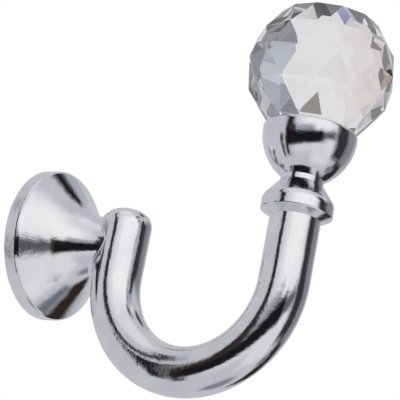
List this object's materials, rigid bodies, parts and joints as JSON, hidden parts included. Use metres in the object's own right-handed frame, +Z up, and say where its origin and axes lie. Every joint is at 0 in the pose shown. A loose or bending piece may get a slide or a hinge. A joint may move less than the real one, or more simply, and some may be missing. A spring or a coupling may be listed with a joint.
{
  "type": "curtain holdback",
  "caption": "Chrome curtain tieback hook: round wall rose with a trumpet neck, a U-shaped round arm, a collar and a cup carrying a faceted cut-glass ball.",
  "frame": {"origin": "middle of the rose's back face, on the wall plane, at the mouth of the screw hole", "axes": "+X out of the wall along the rose's axis, +Z up, so the arm lies in the XZ plane and +Y is to the side"},
  "size_m": [0.0701, 0.0302, 0.0769],
  "materials": {
    "chrome": "polished bright chrome plate on a zinc casting",
    "cut_glass": "clear cut glass with polished facets"
  },
  "bodies": {
    "root": {"hook_casting": "chrome", "crystal_ball": "cut_glass"}
  },
  "joints": []
}
